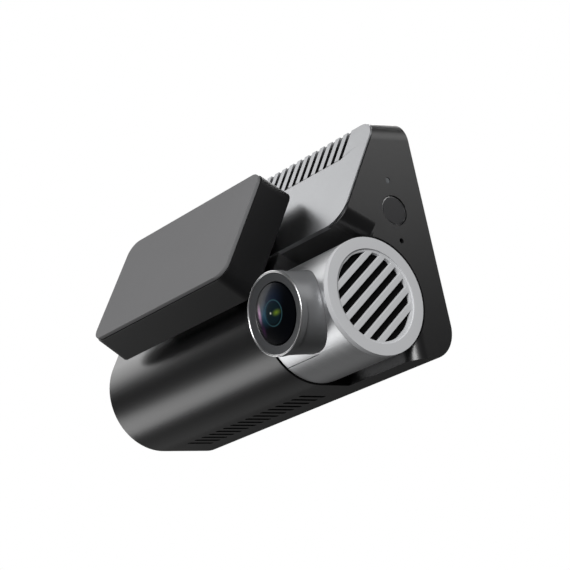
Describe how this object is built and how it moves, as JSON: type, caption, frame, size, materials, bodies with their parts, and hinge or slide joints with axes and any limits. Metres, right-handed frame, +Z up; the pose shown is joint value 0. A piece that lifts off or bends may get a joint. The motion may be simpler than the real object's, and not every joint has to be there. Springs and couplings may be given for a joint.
{
  "type": "dash camera",
  "caption": "Windscreen dash camera: a round-fronted body with a rear screen, a turning lens drum with a slotted end, and a stick-on rail mount.",
  "frame": {"origin": "centre of the adhesive pad's outer face, which sticks to the windscreen", "axes": "+X towards the lens drum's slotted end, -Y the way the lens looks (to the road), +Y to the driver, +Z up"},
  "size_m": [0.087, 0.044, 0.0573],
  "materials": {
    "black_plastic": "satin black moulded plastic",
    "rear_black": "fine matte black",
    "silver_sheet": "bead-blasted silver sheet",
    "drum_metal": "satin silver",
    "cap_grey": "light grey matte",
    "tube_metal": "dark anodised",
    "ring_metal": "polished rim",
    "mesh_black": "black mesh",
    "cell_black": "black anodised",
    "lens_glass": "coated optical glass",
    "screen_black": "black cover glass",
    "button_black": "satin black keys",
    "pad_foam": "grey acrylic foam tape",
    "pivot_metal": "turned metal",
    "screw_steel": "black zinc",
    "rail_plastic": "black glass-filled plastic",
    "display_layers": "display layers",
    "tray_metal": "thin sheet",
    "board_green": "circuit board",
    "chip_black": "chip package",
    "thermal_grey": "thermal pad",
    "sink_aluminium": "bare aluminium",
    "antenna_ceramic": "ceramic patch",
    "capacitor_sleeve": "shrink sleeve",
    "speaker_black": "speaker case",
    "flex_amber": "flexible circuit",
    "light_guide": "smoked light guide",
    "card_black": "memory card"
  },
  "bodies": {
    "mount": {"mount_block": "black_plastic", "mount_lid": "black_plastic", "mount_screws": "screw_steel", "adhesive_pad": "pad_foam"},
    "camera": {"main_housing": "black_plastic", "rear_cover": "rear_black", "vent_cover": "silver_sheet", "screen_glass": "screen_black", "display_panel": "display_layers", "display_tray": "tray_metal", "mount_rail": "rail_plastic", "rail_screws": "screw_steel", "friction_washer": "pivot_metal", "camera_flex": "flex_amber", "main_board": "board_green", "processor": "chip_black", "processor_pad": "thermal_grey", "heat_spreader": "sink_aluminium", "satellite_antenna": "antenna_ceramic", "wireless_module": "chip_black", "backup_capacitors": "capacitor_sleeve", "speaker": "speaker_black", "power_port": "tray_metal", "rear_camera_port": "tray_metal", "card_socket": "tray_metal", "key_switches": "chip_black", "display_flex": "flex_amber", "side_board": "board_green", "power_switch": "chip_black", "status_light": "light_guide", "microphone": "chip_black", "board_screws": "screw_steel", "rear_screws": "screw_steel"},
    "drum": {"drum_shell": "drum_metal", "drum_panel": "drum_metal", "drum_end_cap": "cap_grey", "grille_mesh": "mesh_black", "drum_pivot": "pivot_metal", "pivot_screws": "screw_steel", "pivot_clip": "pivot_metal", "lens_tube": "tube_metal", "lens_ring": "ring_metal", "lens_cell": "cell_black", "front_glass": "lens_glass", "second_glass": "lens_glass", "rear_glass": "lens_glass", "lens_holder": "cell_black", "infrared_filter": "lens_glass", "image_sensor": "chip_black", "sensor_board": "board_green", "sensor_pad": "thermal_grey", "sensor_heat_sink": "sink_aluminium"},
    "power_button": {"power_button": "button_black"},
    "memory_card": {"memory_card": "card_black"},
    "rear_button_1": {"rear_button_1": "button_black"},
    "rear_button_2": {"rear_button_2": "button_black"},
    "rear_button_3": {"rear_button_3": "button_black"},
    "rear_button_4": {"rear_button_4": "button_black"}
  },
  "joints": [
    {"name": "mount_slide", "type": "slide", "parent": "mount", "child": "camera", "axis": [0, 0.575, 0.8181], "range_m": [0, 0.026]},
    {"name": "drum_turn", "type": "hinge", "parent": "camera", "child": "drum", "pos_m": [0.0496, 0.01445, -0.02501], "axis": [1, 0, 0], "range_deg": [-35, 55]},
    {"name": "power_button_press", "type": "slide", "parent": "camera", "child": "power_button", "axis": [-1, 0, 0], "range_m": [0, 0.00035], "stiffness_N_per_m": 600, "springref_m": -0.001},
    {"name": "memory_card_slide", "type": "slide", "parent": "camera", "child": "memory_card", "axis": [-1, 0, 0], "range_m": [0, 0.017]},
    {"name": "rear_button_1_press", "type": "slide", "parent": "camera", "child": "rear_button_1", "axis": [0, -1, 0], "range_m": [0, 0.0003], "stiffness_N_per_m": 600, "springref_m": -0.001},
    {"name": "rear_button_2_press", "type": "slide", "parent": "camera", "child": "rear_button_2", "axis": [0, -1, 0], "range_m": [0, 0.0003], "stiffness_N_per_m": 600, "springref_m": -0.001},
    {"name": "rear_button_3_press", "type": "slide", "parent": "camera", "child": "rear_button_3", "axis": [0, -1, 0], "range_m": [0, 0.0003], "stiffness_N_per_m": 600, "springref_m": -0.001},
    {"name": "rear_button_4_press", "type": "slide", "parent": "camera", "child": "rear_button_4", "axis": [0, -1, 0], "range_m": [0, 0.0003], "stiffness_N_per_m": 600, "springref_m": -0.001}
  ]
}
